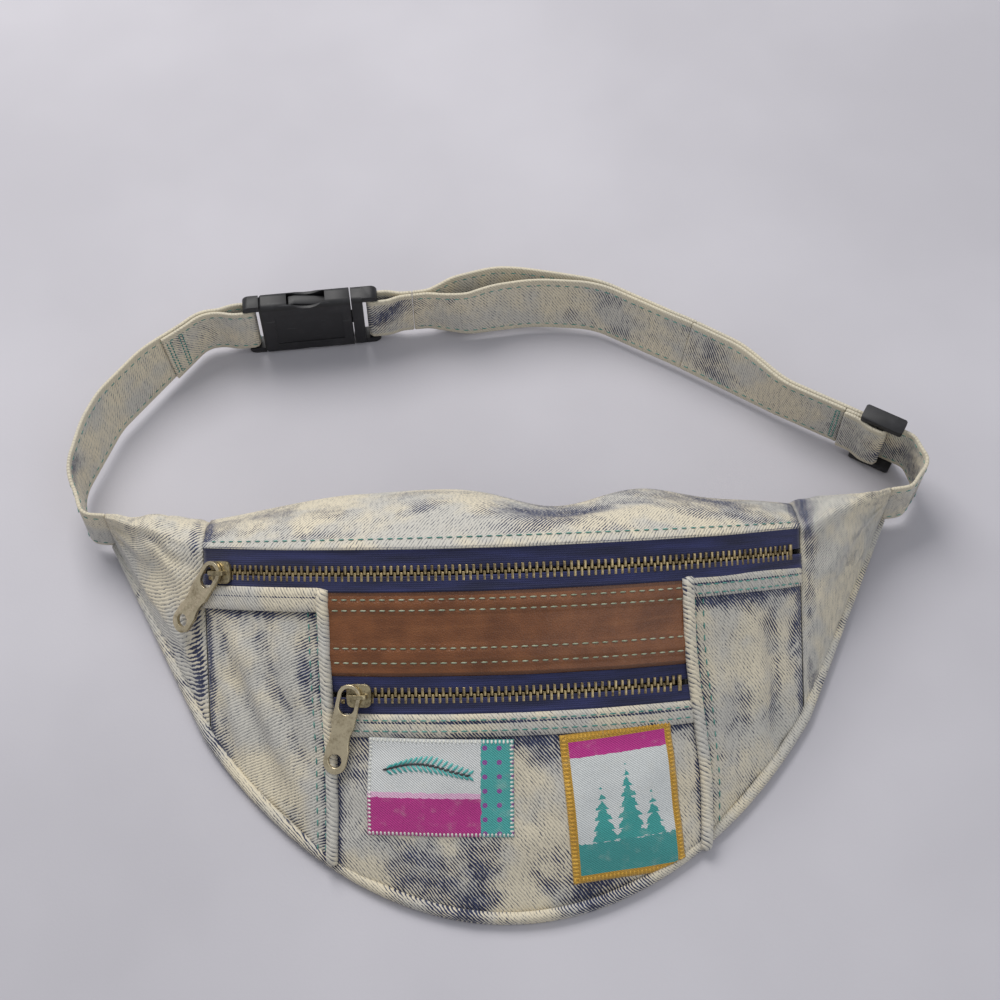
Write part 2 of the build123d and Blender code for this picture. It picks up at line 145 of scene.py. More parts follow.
def finish_piece(bm, name, body, material, nodes=(), slot=None, smooth=True):
    """Turns a bmesh into an object that rides on a body."""
    mesh = bpy.data.meshes.new(name)
    for face in bm.faces:
        face.smooth = smooth
    bm.to_mesh(mesh)
    bm.free()
    mesh.materials.append(material)
    piece = bpy.data.objects.new(name, mesh)
    bpy.context.scene.collection.objects.link(piece)
    if body:
        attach(piece, body)
    if nodes:
        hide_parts(*nodes)
    return piece


def cloth(name, across, along, pattern, place, material, body="pack", nodes=(),
          slot="washed_denim", wear_and_shade=None, thick=1.2 * MM):
    """A grid of across x along cells, cut by pattern and laid by place."""
    bm = bmesh.new()
    bmesh.ops.create_grid(bm, x_segments=across, y_segments=along, size=0.5)
    uv = bm.loops.layers.uv.new("flat")
    # Each point's value holds rub wear and painted shade, and the denim finish reads it.
    worn = bm.verts.layers.float.new("wear_and_shade")
    flat = {}
    for v in bm.verts:
        a, b = v.co.x + 0.5, v.co.y + 0.5
        flat[v] = pattern(a, b)
        v[worn] = wear_and_shade(a, b, *flat[v]) if wear_and_shade else 0.0
        v.co = place(*flat[v])
    for face in bm.faces:
        for loop in face.loops:
            loop[uv].uv = flat[loop.vert]
    piece = finish_piece(bm, name, body, material, nodes, slot)
    if thick:
        skin = piece.modifiers.new("thickness", "SOLIDIFY")
        skin.thickness, skin.offset = thick, -1
    return piece


# %% [markdown]
# ## Shader maths as Python
# A finish is easier to read as a sum than as a list of nodes. `Wire` wraps a
# socket so that `1 - mask * 0.5` adds its own Math nodes, and `Bench` holds one
# material. Every other node comes from `Bench.node`.

# %% Wires and benches


class Wire:
    def __init__(self, bench, socket):
        self.bench, self.socket = bench, socket

    def maths(self, operation, *others):
        values = dict(enumerate((self,) + others))
        return self.bench.node("ShaderNodeMath", {"operation": operation}, values)

    def __add__(self, other):
        return self.maths("ADD", other)

    def __mul__(self, other):
        return self.maths("MULTIPLY", other)

    def __sub__(self, other):
        return self.maths("SUBTRACT", other)

    def __rsub__(self, other):
        return (self * -1) + other

    def __gt__(self, other):
        return self.maths("GREATER_THAN", other)

    def __lt__(self, other):
        return self.maths("LESS_THAN", other)

    __radd__, __rmul__ = __add__, __mul__

    def wave(self):
        """A sine of the value's turns, from 0 to 1."""
        return (self * math.tau).maths("SINE") * 0.5 + 0.5

    def ramp(self, low, high):
        """0 at low, 1 at high, held outside them."""
        return self.bench.node("ShaderNodeMapRange", {"interpolation_type": "SMOOTHSTEP"},
                               {"Value": self, "From Min": low, "From Max": high})


class Bench:
    def __init__(self, name):
        self.material = bpy.data.materials.new(name)
        self.material.use_nodes = True
        self.nodes = self.material.node_tree.nodes
        self.links = self.material.node_tree.links
        self.nodes.clear()

    def node(self, kind, settings=None, inputs=None, out=0):
        made = self.nodes.new(kind)
        for key, value in (settings or {}).items():
            setattr(made, key, value)
        for key, value in (inputs or {}).items():
            if isinstance(value, Wire):
                self.links.new(value.socket, made.inputs[key])
            else:
                made.inputs[key].default_value = value
        return Wire(self, made.outputs[out]) if made.outputs else made

    def blend(self, factor, a, b):
        return self.node("ShaderNodeMix", {"data_type": "RGBA"}, {0: factor, 6: a, 7: b}, out=2)

    def noise(self, where, scale, detail=3.0, rough=0.55, distort=0.0):
        return self.node("ShaderNodeTexNoise", {}, {
            "Vector": where, "Scale": scale, "Detail": detail, "Roughness": rough,
            "Distortion": distort})

    def stretched(self, where, scale, turn=0.0):
        return self.node("ShaderNodeMapping", {}, {
            "Vector": where, "Rotation": (0, 0, turn), "Scale": scale})

    def place(self):
        return self.node("ShaderNodeTexCoord", out="Object")

    def flat(self):
        """The pattern's two lengths, in metres."""
        where = self.node("ShaderNodeUVMap", {"uv_map": "flat"})
        apart = self.node("ShaderNodeSeparateXYZ", {}, {0: where})
        second = Wire(self, apart.socket.node.outputs[1])
        return where, apart, second

    def wear_and_shade(self):
        return self.node("ShaderNodeAttribute", {"attribute_name": "wear_and_shade"}, out="Fac")

    def bump(self, height, distance, strength=1.0):
        return self.node("ShaderNodeBump", {}, {
            "Height": height, "Distance": distance, "Strength": strength})

    def surface(self, colour, rough, normal=None, **more):
        values = {"Base Color": colour, "Roughness": rough}
        if normal:
            values["Normal"] = normal
        values.update({key.replace("_", " "): value for key, value in more.items()})
        body = self.node("ShaderNodeBsdfPrincipled", {}, values)
        self.node("ShaderNodeOutputMaterial", {}, {"Surface": body})
        return self.material


def shade(red, green, blue):
    """A colour as it is read on screen, turned into a light value."""
    return tuple((c / 255 / 12.92 if c <= 10 else ((c / 255 + 0.055) / 1.055) ** 2.4)
                 for c in (red, green, blue)) + (1.0,)


# %% [markdown]
# ## Acid-washed denim
# Twill is woven so that its threads step sideways by one each row, which draws
# fine slanted lines about a millimetre apart. The wash takes the indigo out in
# clouds and leaves cream. The value painted on the points adds rub wear on the
# crests, and a darker blue in the valleys and beside seams as painted shade.
# The lines are drawn on the pattern, the clouds in space, so that clouds run
# on over the seams.

# %% The denim finish


def denim(name, lean=1, pale=0.0, edge=None, long_clouds=(26, 26, 26), steep=0.8):
    """Cream threads over indigo; lean is the twill's side, pale its wash."""
    b = Bench(name)
    where, s, w = b.flat()
    here = b.place()
    drift = b.noise(where, 34, 2) * 2.6 + b.noise(where, 330, 2) * 0.9
    turns = 940 / math.hypot(1, steep)
    threads = (s * (lean * turns) + w * (steep * turns) + drift).wave()
    slubs = b.noise(b.stretched(where, (1000, 190, 1), lean * 0.9), 1.0, 3)
    clouds = b.noise(b.stretched(here, long_clouds), 1.0, 6, 0.6, 0.5)
    flecks = b.noise(here, 330, 4, 0.7)
    # The value on the points adds rub wear and painted shade to the wash: where it is low, more
    # blue shows.
    washed = clouds + (flecks - 0.5) * 0.22 + b.wear_and_shade() * 0.22 + (pale + 0.045)
    bare = washed.ramp(0.36, 0.60)
    cover = threads * 1.1 + bare * 1.0 + (slubs - 0.5) * 1.1 - 1.05
    blue = b.blend(flecks.ramp(0.3, 0.7), shade(20, 28, 62), shade(46, 56, 92))
    dull = b.blend(flecks.ramp(0.3, 0.7), shade(70, 76, 92), shade(104, 106, 110))
    under = b.blend(washed.ramp(0.44, 0.62), blue, dull)
    warm = b.noise(here, 46, 3)
    cream = b.blend(warm.ramp(0.38, 0.62), shade(196, 193, 184), shade(218, 208, 184))
    colour = b.blend(cover.ramp(-0.22, 0.2), under, cream)
    if edge:
        near = (w > edge[1]).maths("MAXIMUM", w < edge[0])
        colour = b.blend(near * 0.75, colour, shade(204, 195, 172))
    height = threads * 0.7 + slubs * 0.4 + flecks * 0.3
    return b.surface(colour, 0.9, b.bump(height, 0.00024, 0.9), Sheen_Weight=0.2)


denim_right_lean = denim("denim_twill_right", 1)
denim_left_lean = denim("denim_twill_left", -1, 0.03, steep=2.2)
denim_top = denim("denim_top", -1, 0.03, None, (14, 34, 34), 0.7)
denim_pale = denim("denim_pale_edge", 1, 0.14)
denim_roll = denim("denim_bottom_roll", 1, 0.0)
denim_strap = denim("denim_strap", -1, 0.04, (2.2 * MM, 22.8 * MM))
print("denim finishes", len(bpy.data.materials))

# %% [markdown]
# ## The panels of the front
# Two side panels meet the pocket at folded edges that bow a little outwards,
# more on the right. Every panel sinks by a fraction of a millimetre at its
# borders, where the seam pulls it down, and that line of shade is what makes
# the eye see separate pieces of cloth. A darker blue is also painted along the
# borders as painted shade.

# %% Pocket and side panels


def pocket_edge(side, w):
    """How far round the bend the pocket's edge is, at w."""
    bow = math.sin(math.pi * step(-w, 20 * MM, 150 * MM))
    return POCKET_S + 5.0 * MM * bow if side > 0 else -POCKET_S + 1.5 * MM * bow


def dip(a, b, across, along, depth=0.7 * MM, reach=2.2 * MM):
    """How much a panel sinks near its borders."""
    near = min(a * across, (1 - a) * across, b * along, (1 - b) * along)
    return depth * math.exp(-((near / reach) ** 2))


def crest_wear_valley_shade(s, w):
    """Crests are worn pale, and valleys are darkened as painted shade."""
    d = 3 * MM
    around = crease(s + d, w) + crease(s - d, w) + crease(s, w + d) + crease(s, w - d)
    return max(-1.0, min(1.0, (crease(s, w) * 4 - around) / (0.5 * MM)))


def panel_point(sink=0.0):
    def place(s, w, out=0.0):
        p = on_bend(s, w, crease(s, w) + out - sink)
        p.z = max(p.z, 1.6 * MM)
        return p
    return place


def lay_panel(name, s_of, top, material, node, cells=(70, 110), low=None):
    """A panel from s_of(0, w) to s_of(1, w), from top down to the table."""
    wide = abs(s_of(1, top) - s_of(0, top))
    sunk = {}

    def pattern(a, b):
        bottom = low if low is not None else floor_w(s_of(a, -90 * MM))
        w = mix(bottom, top, b)
        s = s_of(a, w)
        sunk[(s, w)] = dip(a, b, wide, top - bottom)
        return s, w

    def wear_and_shade(a, b, s, w):
        ragged = 1.2 * MM * noise.noise(Vector((s * 400, w * 400, 4)))
        near = min(a * wide, (1 - a) * wide, (1 - b) * 60 * MM) + ragged
        # Within a few millimetres of the borders the value drops, which paints shade beside the
        # seams as a darker blue; the crest term adds rub wear and valley shade.
        return crest_wear_valley_shade(s, w) * 0.3 - 0.95 * (1 - step(near, 1.0 * MM, 5.5 * MM))

    def place(s, w):
        return panel_point(sunk[(s, w)])(s, w)

    return cloth(name, *cells, pattern, place, material, nodes=(node,), wear_and_shade=wear_and_shade)


lay_panel("pocket_front", lambda a, w: mix(pocket_edge(-1, w), pocket_edge(1, w), a), HEM_LOW,
          denim_right_lean, "pocket_panel", (120, 70))
lay_panel("side_left", lambda a, w: mix(-SEAM_S, pocket_edge(-1, w), a), SIDE_HEM_LOW,
          denim_left_lean, "left_side_panel")
lay_panel("side_right", lambda a, w: mix(pocket_edge(1, w), SEAM_S, a), SIDE_HEM_LOW,
          denim_right_lean, "right_side_panel")

# %% [markdown]
# ## Hems, folded edges and the rolled bottom seam
# A raw edge of denim frays, so each is folded over: under the pocket's zip,
# beside the ends of the main zip and down both sides of the pocket. A fold is
# a narrow strip with a rounded back. Round the bottom the front and the back
# panel are turned out together, which leaves a soft roll.

# %% Hems and folds


def strip(name, ends, halves, height, material, node, cells=(90, 8), slot="pale_denim"):
    """A rounded strip between two edges; halves gives (low, high) at a."""
    shape = {}

    def pattern(a, b):
        s0, w0, s1, w1 = halves(a)
        s, w = mix(s0, s1, b), mix(w0, w1, b)
        ridge = 1 + 0.15 * math.exp(-(((b - 0.82) / 0.1) ** 2)) if cells[1] > 10 else 1
        tapered = min(1.0, min(a, 1 - a) * ends + 0.35)
        shape[(s, w)] = height * ridge * (1 - (2 * b - 1) ** 4) * tapered
        return s, w

    def wear_and_shade(a, b, s, w):
        # The dark line below the hem's ridge and the dark edges of each strip are painted shade;
        # the pale back of a fold is wear.
        line = math.exp(-(((b - 0.62) / 0.06) ** 2)) if cells[1] > 10 else 0
        back = 0.5 if 0.2 < b < 0.98 else -0.6
        return 0.3 * noise.noise(Vector((s * 160, w * 160, 5))) + back - 2.2 * line

    def place(s, w):
        return panel_point()(s, w, shape[(s, w)])

    nodes = (node,) if node else ()
    return cloth(name, *cells, pattern, place, material, nodes=nodes, wear_and_shade=wear_and_shade, slot=slot)


strip("hem_pocket", 30, lambda a: (mix(-POCKET_S, pocket_edge(1, HEM_TOP), a), HEM_LOW - 0.6 * MM,
                                   mix(-POCKET_S, pocket_edge(1, HEM_TOP), a), HEM_TOP),
      1.1 * MM, denim_pale, "pocket_hem", (110, 22))
for side, name in ((-1, "left"), (1, "right")):
    strip(f"hem_{name}", 30, lambda a, side=side: (
        mix(side * POCKET_S, side * SEAM_S, a), SIDE_HEM_LOW - 0.6 * MM,
        mix(side * POCKET_S, side * SEAM_S, a), -ZIP_FRONT), 0.6 * MM, denim_pale,
        f"{name}_side_hem", (60, 18))

    def fold(a, side=side):
        w = mix(floor_w(POCKET_S), -ZIP_FRONT - 0.6 * MM, a)
        s = pocket_edge(side, w)
        return s - 1.25 * MM, w, s + 1.25 * MM, w

    strip(f"fold_{name}", 60, fold, 1.7 * MM, denim_pale, f"{name}_pocket_fold", (110, 10))

# %% [markdown]
# ## The top panel and the wings
# The top panel springs from the main zip and rolls over to the back. Each wing
# is a soft cone that changes from the bag's own outline at the seam into the
# upright end of the belt.

# %% Top panel


def crown(x, t, out=0.0):
    """The top panel: t is 0 at the zip and 1 at the back edge."""
    s = math.asin(x / RADIUS) * RADIUS
    front, back = on_bend(s, ZIP_REAR), Vector((x, BACK_Y, 1.5 * MM))
    chord = back - front
    away = Vector((0, -chord.z, chord.y)).normalized()
    return front + chord * t + away * (0.27 * chord.length * 4 * t * (1 - t) + out)


def top_crease(x, t):
    free = step(t, 0.04, 0.3)
    rolls = math.sin(t * 13 + 2.5 * noise.noise(Vector((x * 14, t * 2, 4))))
    soft = noise.noise(Vector((x * 18, t * 3.0, 8))) * 2.2
    sag = 8.0 * math.exp(-(((x - 20 * MM) / (24 * MM)) ** 2)) * math.sin(math.pi * t)
    sag += 2.5 * math.exp(-(((x - 78 * MM) / (20 * MM)) ** 2)) * math.sin(math.pi * t)
    return free * (soft + 0.7 * rolls - sag) * MM


def top_pattern(a, b):
    return mix(-SEAM_X, SEAM_X, a), b * 96 * MM


def top_place(x, length):
    t = length / (96 * MM)
    edge = dip(0.5 + x / SEAM_X / 2, 1, 2 * SEAM_X, 1, 0.9 * MM)
    hem = 0.9 * MM * math.exp(-((length - 3 * MM) / (2.2 * MM)) ** 2)
    return crown(x, t, top_crease(x, t) - edge * step(t, 0.0, 0.1) + hem)


# The value is higher on the top panel's raised creases and on its hem by the zip, where it rubs
# pale, and lower in its sags and beside the wing seams, where it is painted shade.
cloth("top", 170, 90, top_pattern, top_place, denim_top, nodes=("top_panel",),
      wear_and_shade=lambda a, b, x, l: 0.12 * top_crease(x, b) / MM + 0.5 * (b < 0.05) - 0.9 * (
          1 - step(min(a, 1 - a) * 2 * SEAM_X, 1 * MM, 5 * MM)))

# %% Wings
TIP_X, TIP_Y, TIP_LOW, TIP_HIGH, TIP_HALF = 158 * MM, 84 * MM, 4 * MM, 29 * MM, 1.6 * MM


def wing_base(side, k):
    """The bag's outline at the seam, k from 0 round to 1."""
    toe = on_bend(SEAM_S, floor_w(SEAM_S, 0.5 * MM))
    if k < 0.45:
        w = mix(floor_w(SEAM_S, 0.5 * MM), ZIP_REAR, k / 0.45)
        p = on_bend(side * SEAM_S, w)
    elif k < 0.8:
        p = crown(side * SEAM_X, (k - 0.45) / 0.35)
    else:
        p = Vector((0, mix(BACK_Y, toe.y, (k - 0.8) / 0.2), 0.5 * MM))
    p.x = side * SEAM_X
    return p


def wing_tip(side, k):
    if k < 0.45:
        y, z = TIP_Y - TIP_HALF, mix(TIP_LOW, TIP_HIGH, k / 0.45)
    elif k < 0.8:
        t = (k - 0.45) / 0.35
        y, z = TIP_Y + TIP_HALF * min(1, t * 8 - 1), mix(TIP_HIGH, TIP_LOW, step(t, 0.1, 1))
    else:
        y, z = mix(TIP_Y + TIP_HALF, TIP_Y - TIP_HALF, (k - 0.8) / 0.2), TIP_LOW
    return Vector((side * TIP_X, y, z))


def wing_place(side):
    def place(along, around):
        a, k = along / (46 * MM), around / (150 * MM)
        k = k % 1.0
        p = wing_base(side, k).lerp(wing_tip(side, k), a)
        puff = math.sin(math.pi * min(1, a * 1.1)) * (1 - step(a, 0.75, 1))
        folds = math.sin(k * 44 + 5 * noise.noise(Vector((a * 3, k * 8, side * 4)))) * (0.3 + a)
        soft = noise.noise(Vector((a * 3.2, k * 9, 2 + side)))
        centre = Vector((p.x, mix(BACK_Y - 22 * MM, TIP_Y, a), mix(14 * MM, 16.5 * MM, a)))
        away = (p - centre).normalized()
        top = 1 - step(k, 0.78, 0.82)
        sink = 1.3 * MM * math.exp(-((a * 42) / 2.4) ** 2)
        p += away * top * ((1.2 * puff + (0.8 * folds + 1.3 * soft) * step(a, 0.03, 0.25)
                            * (1 - step(a, 0.85, 1))) * MM - sink)
        p.z = max(p.z, 0.4 * MM)
        return p
    return place


def wing_wear_and_shade(a, b, along, around):
    # The seam itself rubs pale; the darker band just beside it is painted shade.
    seam, shade_beside_seam = 1 - step(a, 0.02, 0.06), 1 - step(a, 0.08, 0.2)
    return 0.3 * noise.noise(Vector((a * 9, b * 30, 3))) + 0.7 * seam - 0.5 * shade_beside_seam


for side, name in ((-1, "left"), (1, "right")):
    piece = cloth(f"wing_{name}", 44, 130, lambda a, b: (a * 46 * MM, b * 150 * MM),
                  wing_place(side), denim_left_lean if side > 0 else denim_right_lean,
                  nodes=(f"{name}_wing",), wear_and_shade=wing_wear_and_shade, thick=0)
    bm = bmesh.new()
    bm.from_mesh(piece.data)
    bmesh.ops.remove_doubles(bm, verts=bm.verts, dist=0.05 * MM)
    rim = [e for e in bm.edges if e.is_boundary]
    bmesh.ops.holes_fill(bm, edges=rim, sides=0)
    bmesh.ops.recalc_face_normals(bm, faces=bm.faces)
    bm.to_mesh(piece.data)
    bm.free()

# %% The back panel and the rolled seam


def tube(bm, points, radius, sides):
    """A closed round bar along points, made by bridging rings of edges."""
    rings = []
    for i, p in enumerate(points):
        ahead = (points[min(i + 1, len(points) - 1)] - points[max(i - 1, 0)]).normalized()
        sideways = ahead.cross(Vector((0, 0, 1))).normalized()
        high = sideways.cross(ahead).normalized()
        ring = bmesh.ops.create_circle(bm, segments=sides, radius=radius)["verts"]
        turn = Matrix((sideways, high, ahead)).transposed().to_4x4()
        bmesh.ops.transform(bm, matrix=Matrix.Translation(p) @ turn, verts=ring)
        rings.append(list({edge for v in ring for edge in v.link_edges}))
    for near, far in zip(rings, rings[1:]):
        bmesh.ops.bridge_loops(bm, edges=near + far)
    for end in (rings[0], rings[-1]):
        bmesh.ops.contextual_create(bm, geom=end)


outline = [on_bend(mix(-SEAM_S, SEAM_S, i / 90), floor_w(mix(-SEAM_S, SEAM_S, i / 90), 2.6 * MM))
           for i in range(91)]
for p in outline:
    p.z = 2.7 * MM
left_tip = Vector((-TIP_X, TIP_Y, 4.5 * MM))
wing_line = [left_tip.lerp(outline[0], i / 12) for i in range(12)]
right_line = [Vector((-p.x, p.y, p.z)) for p in reversed(wing_line)]
seam_path = wing_line + outline + right_line
for i, p in enumerate(seam_path):
    p.y -= 0.6 * MM
    p.z = max(2.5 * MM, p.z + 0.3 * MM * noise.noise(Vector((i * 0.4, 1, 2))))
bm = bmesh.new()
tube(bm, seam_path, 2.2 * MM, 12)
bmesh.ops.recalc_face_normals(bm, faces=bm.faces)
uv = bm.loops.layers.uv.new("flat")
for face in bm.faces:
    for loop in face.loops:
        loop[uv].uv = (loop.vert.co.x, loop.vert.co.y + loop.vert.co.z)
finish_piece(bm, "seam_roll", "pack", denim_roll, slot="washed_denim")


def back_pattern(a, b):
    x = mix(-SEAM_X, SEAM_X, a)
    s = math.asin(x / RADIUS) * RADIUS
    front = on_bend(s, floor_w(s, 1 * MM)).y
    return x, mix(front, BACK_Y, b)


cloth("back", 90, 60, back_pattern, lambda x, y: Vector((x, y, 1.8 * MM)), denim_left_lean,
      nodes=("back_panel",), thick=1.6 * MM,
      wear_and_shade=lambda a, b, x, y: 0.4 * noise.noise(Vector((x * 40, y * 40, 6))))

# %% [markdown]
# ## The leather band
# A strip of brown leather fills the front between the zips. Two pairs of
# stitch rows hold it, and each pair runs along a slightly raised welt. Leather
# has a fine closed grain, a soft shine and darker, drier edges.

# %% Leather


def leather():
    b = Bench("brown_leather")
    where, s, w = b.flat()
    grain = b.node("ShaderNodeTexVoronoi", {"feature": "DISTANCE_TO_EDGE"},
                   {"Vector": where, "Scale": 1100.0})
    blotch = b.noise(where, 60, 5, 0.6)
    streak = b.noise(b.stretched(where, (40, 420, 1)), 1.0, 3)
    colour = b.blend(blotch.ramp(0.3, 0.7), shade(102, 58, 27), shade(128, 77, 40))
    colour = b.blend(streak.ramp(0.45, 0.75) * 0.3, colour, shade(150, 98, 58))
    edge = (w > -8.2 * MM).maths("MAXIMUM", w < -36.6 * MM)
    colour = b.blend(edge * 0.55, colour, shade(66, 40, 24))
    rough = 0.30 + blotch * 0.14
    return b.surface(colour, rough, b.bump(grain.ramp(0.0, 0.25) + blotch * 1.2, 0.00012, 0.6),
                     Coat_Weight=0.12)


LEATHER_ROWS = (-9.6 * MM, -13.6 * MM, -27.6 * MM, -33.0 * MM)


def leather_place(s, w):
    edge = min(abs(w + ZIP_FRONT), abs(w + 38.5 * MM))
    welt = step(-w, 8 * MM, 9.5 * MM) * (1 - step(-w, 13.8 * MM, 15.5 * MM))
    welt += step(-w, 25.5 * MM, 27.5 * MM) * (1 - step(-w, 33.2 * MM, 35 * MM))
    rows = sum(math.exp(-(((w - row) / (0.8 * MM)) ** 2)) for row in LEATHER_ROWS)
    return on_bend(s, w, 0.25 * MM + (0.5 * welt - 0.35 * rows + 0.25 * noise.noise(
        Vector((s * 60, w * 60, 2)))) * MM - 1.0 * MM * math.exp(-((edge / (0.8 * MM)) ** 2)))


def leather_pattern(a, b):
    return mix(-POCKET_S, POCKET_S + 1 * MM, a), mix(-38.5 * MM, -ZIP_FRONT, b)


brown_leather = leather()
cloth("leather", 110, 64, leather_pattern, leather_place, brown_leather,
      nodes=("leather_band",), slot="leather", thick=1.0 * MM)

# %% [markdown]
# ## Zips
# The rows of teeth, the sliders and the pulls are metal, and their CAD shapes
# are right, so they are kept and only softened: a worn casting has no sharp
# corner. The tapes are woven again here as cloth, with their fine ribs.

# %% Tapes


def woven_navy():
    b = Bench("navy_tape")
    where, s, w = b.flat()
    ribs = (w * 1250 + b.noise(where, 300, 2) * 0.25).wave()
    picks = (s * 1500 + ribs * 0.5).wave()
    fade = b.noise(b.stretched(where, (30, 260, 1)), 1.0, 4)
    colour = b.blend(fade.ramp(0.3, 0.75), shade(20, 24, 58), shade(46, 52, 104))
    colour = b.blend(picks * 0.35, colour, shade(16, 18, 44))
    return b.surface(colour, 0.8, b.bump(ribs * 0.7 + picks * 0.5, 0.00015, 0.8), Sheen_Weight=0.2)


navy_tape = woven_navy()


def lay_tape(name, node, middle, side, low, high, reach=6.9):
    def place(s, w):
        across = abs(w - middle)
        lift = -0.62 * MM + 0.3 * MM * step(across, (reach - 2.3) * MM, reach * MM)
        return on_bend(s, w, lift + 0.2 * MM * noise.noise(Vector((s * 40, w * 90, 2))))

    cloth(name, 150, 10, lambda a, b: (mix(low, high, a), middle + side * mix(1.0, reach, b) * MM),
          place, navy_tape, nodes=(node,), slot="zip_tape", thick=0.7 * MM)


lay_tape("tape_main_rear", "main_zip_tape_rear", 0, 1, -SEAM_S, SEAM_S, 9.6)
lay_tape("tape_main_front", "main_zip_tape_front", 0, -1, -SEAM_S, SEAM_S)
for place_name, side in (("upper", 1), ("lower", -1)):
    lay_tape(f"tape_pocket_{place_name}", f"pocket_zip_tape_{place_name}", POCKET_ZIP_W, side,
             -POCKET_S, POCKET_S + 2 * MM)

# %% Metal and plastic


def metal(name, dark, bright, rough, tarnish=0.5):
    b = Bench(name)
    here = b.place()
    spots = b.noise(here, 900, 5, 0.65)
    cloud = b.noise(here, 170, 4, 0.6)
    worn = (spots * 0.6 + cloud * 0.6).ramp(tarnish - 0.16, tarnish + 0.2)
    colour = b.blend(worn, dark, bright)
    return b.surface(colour, rough + 0.2 - worn * 0.22,
                     b.bump(spots + cloud * 0.4, 0.00006, 0.6), Metallic=0.85)


def plastic():
    b = Bench("black_plastic")
    here = b.place()
    grain = b.noise(here, 2600, 3, 0.6)
    dust = b.noise(here, 120, 5, 0.7)
    scuffs = b.noise(b.stretched(here, (60, 500, 500), 0.1), 1.0, 4, 0.7)
    colour = b.blend(dust.ramp(0.45, 0.85) * 0.5, shade(20, 20, 23), shade(58, 58, 62))
    colour = b.blend(scuffs.ramp(0.62, 0.72) * 0.35, colour, shade(96, 96, 98))
    return b.surface(colour, 0.42 + dust * 0.2, b.bump(grain, 0.00005, 0.7))


dark_brass = metal("dark_brass_teeth", shade(92, 78, 54), shade(196, 176, 132), 0.30, 0.56)
slider_brass = metal("dark_brass_slider", shade(104, 92, 70), shade(190, 176, 140), 0.28, 0.55)
pale_brass = metal("worn_brass_pull", shade(150, 136, 108), shade(214, 200, 168), 0.26, 0.48)
black_plastic = plastic()


def soften(node, body, material, width, slot, segments=2):
    """A copy of a CAD node with its sharp corners rounded by a bevel."""
    bm = bmesh.new()
    bm.from_mesh(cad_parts[node].data)
    bmesh.ops.remove_doubles(bm, verts=bm.verts, dist=0.002 * MM)
    bmesh.ops.dissolve_limit(bm, angle_limit=math.radians(2), verts=bm.verts, edges=bm.edges)
    for face in bm.faces:
        face.smooth = True
    piece = finish_piece(bm, f"{node}_worn", body, material, (node,), slot)
    bevel = piece.modifiers.new("worn corners", "BEVEL")
    bevel.width, bevel.segments, bevel.limit_method = width, segments, "ANGLE"
    bevel.angle_limit, bevel.use_clamp_overlap = math.radians(32), True
    bevel.harden_normals = True
    return piece


for node in ("main_zip_teeth_rear", "main_zip_teeth_front", "pocket_zip_teeth_upper",
             "pocket_zip_teeth_lower", "main_zip_stops", "pocket_zip_stops"):
    soften(node, "pack", dark_brass, 0.14 * MM, "zip_teeth", 1)
for name in ("main", "pocket"):
    soften(f"{name}_slider", f"{name}_slider", slider_brass, 0.3 * MM, "zip_slider")
    soften(f"{name}_pull", f"{name}_pull", pale_brass, 0.35 * MM, "zip_pull", 3)
for node, body in (("buckle_female", "belt"), ("buckle_male", "buckle_male"),
                   ("buckle_arm_upper", "arm_upper"), ("buckle_arm_lower", "arm_lower"),
                   ("triglide", "triglide")):
    soften(node, body, black_plastic, 0.45 * MM, "buckle_plastic")

# %% [markdown]
# ## Straps
# The belt is a tube of the same denim pressed flat, so its edges are folds that
# have worn cream. It stands on edge. Its line is a few straight runs with
# rounded corners, the same as in the CAD model, with a little slack added. Its
# top edge falls outwards between the fixings, and stays upright at them and
# along the way that the tri-glide slides.

# %% The belt's line


def rounded(points, radii, gap=1.5 * MM):
    """Points along straight runs joined by arcs, about gap apart."""
    line, last = [], Vector(points[0])
    for a, b, c, r in zip(points, points[1:], points[2:], radii):
        a, b, c = Vector(a), Vector(b), Vector(c)
        u, v = (a - b).normalized(), (c - b).normalized()
        half = u.angle(v) / 2
        start, end = b + u * (r / math.tan(half)), b + v * (r / math.tan(half))
        centre = b + (u + v).normalized() * (r / math.sin(half))
        line += [last.lerp(start, t / 40) for t in range(40)]
        sweep = (start - centre).angle_signed(end - centre)
        line += [centre + Matrix.Rotation(-sweep * t / 24, 2) @ (start - centre) for t in range(24)]
        last = end
    line += [last.lerp(Vector(points[-1]), t / 40) for t in range(41)]
    kept = [line[0]]
    for p in line[1:-1]:
        if (p - kept[-1]).length >= gap:
            kept.append(p)
    return kept + [line[-1]]


def beside(points, d):
    """The corners moved sideways by d, left positive."""
    out = []
    for i, p in enumerate(points):
        legs = [(Vector(points[j + 1]) - Vector(points[j])).normalized()
                for j in (i - 1, i) if 0 <= j < len(points) - 1]
        n = sum((Vector((-leg.y, leg.x)) for leg in legs), Vector((0, 0)))
        out.append(tuple(Vector(p) + n * (d / n.length_squared * len(legs))))
    return out


def spot(place, u, t):
    x, y, turn = place
    c, s = math.cos(math.radians(turn)), math.sin(math.radians(turn))
    return x + (u * c - t * s) * MM, y + (u * s + t * c) * MM


BUCKLE = (-78 * MM, 186.2 * MM, 4.3)
GLIDE = (160 * MM, 116 * MM, -31.0)
LAYER, BAR_U, BAR_T = 1.65, 24.6, 2.6
print("buckle at", BUCKLE[:2], "tri-glide at", GLIDE[:2])

# %% Strap pieces
STRAP_LOW, STRAP_WIDE = 4 * MM, 25 * MM
FIXED = [Vector(p) for p in ((-0.158, 0.084), (0.158, 0.084), spot(BUCKLE, -30, 0),
                             spot(BUCKLE, 36, 0), spot(GLIDE, 0, 0), spot(GLIDE, -25, 0))]


def lean_out(p):
    """How far the strap's top edge falls outwards, away from its fixings."""
    return 7 * MM * step(min((p - q).length for q in FIXED), 14 * MM, 48 * MM)



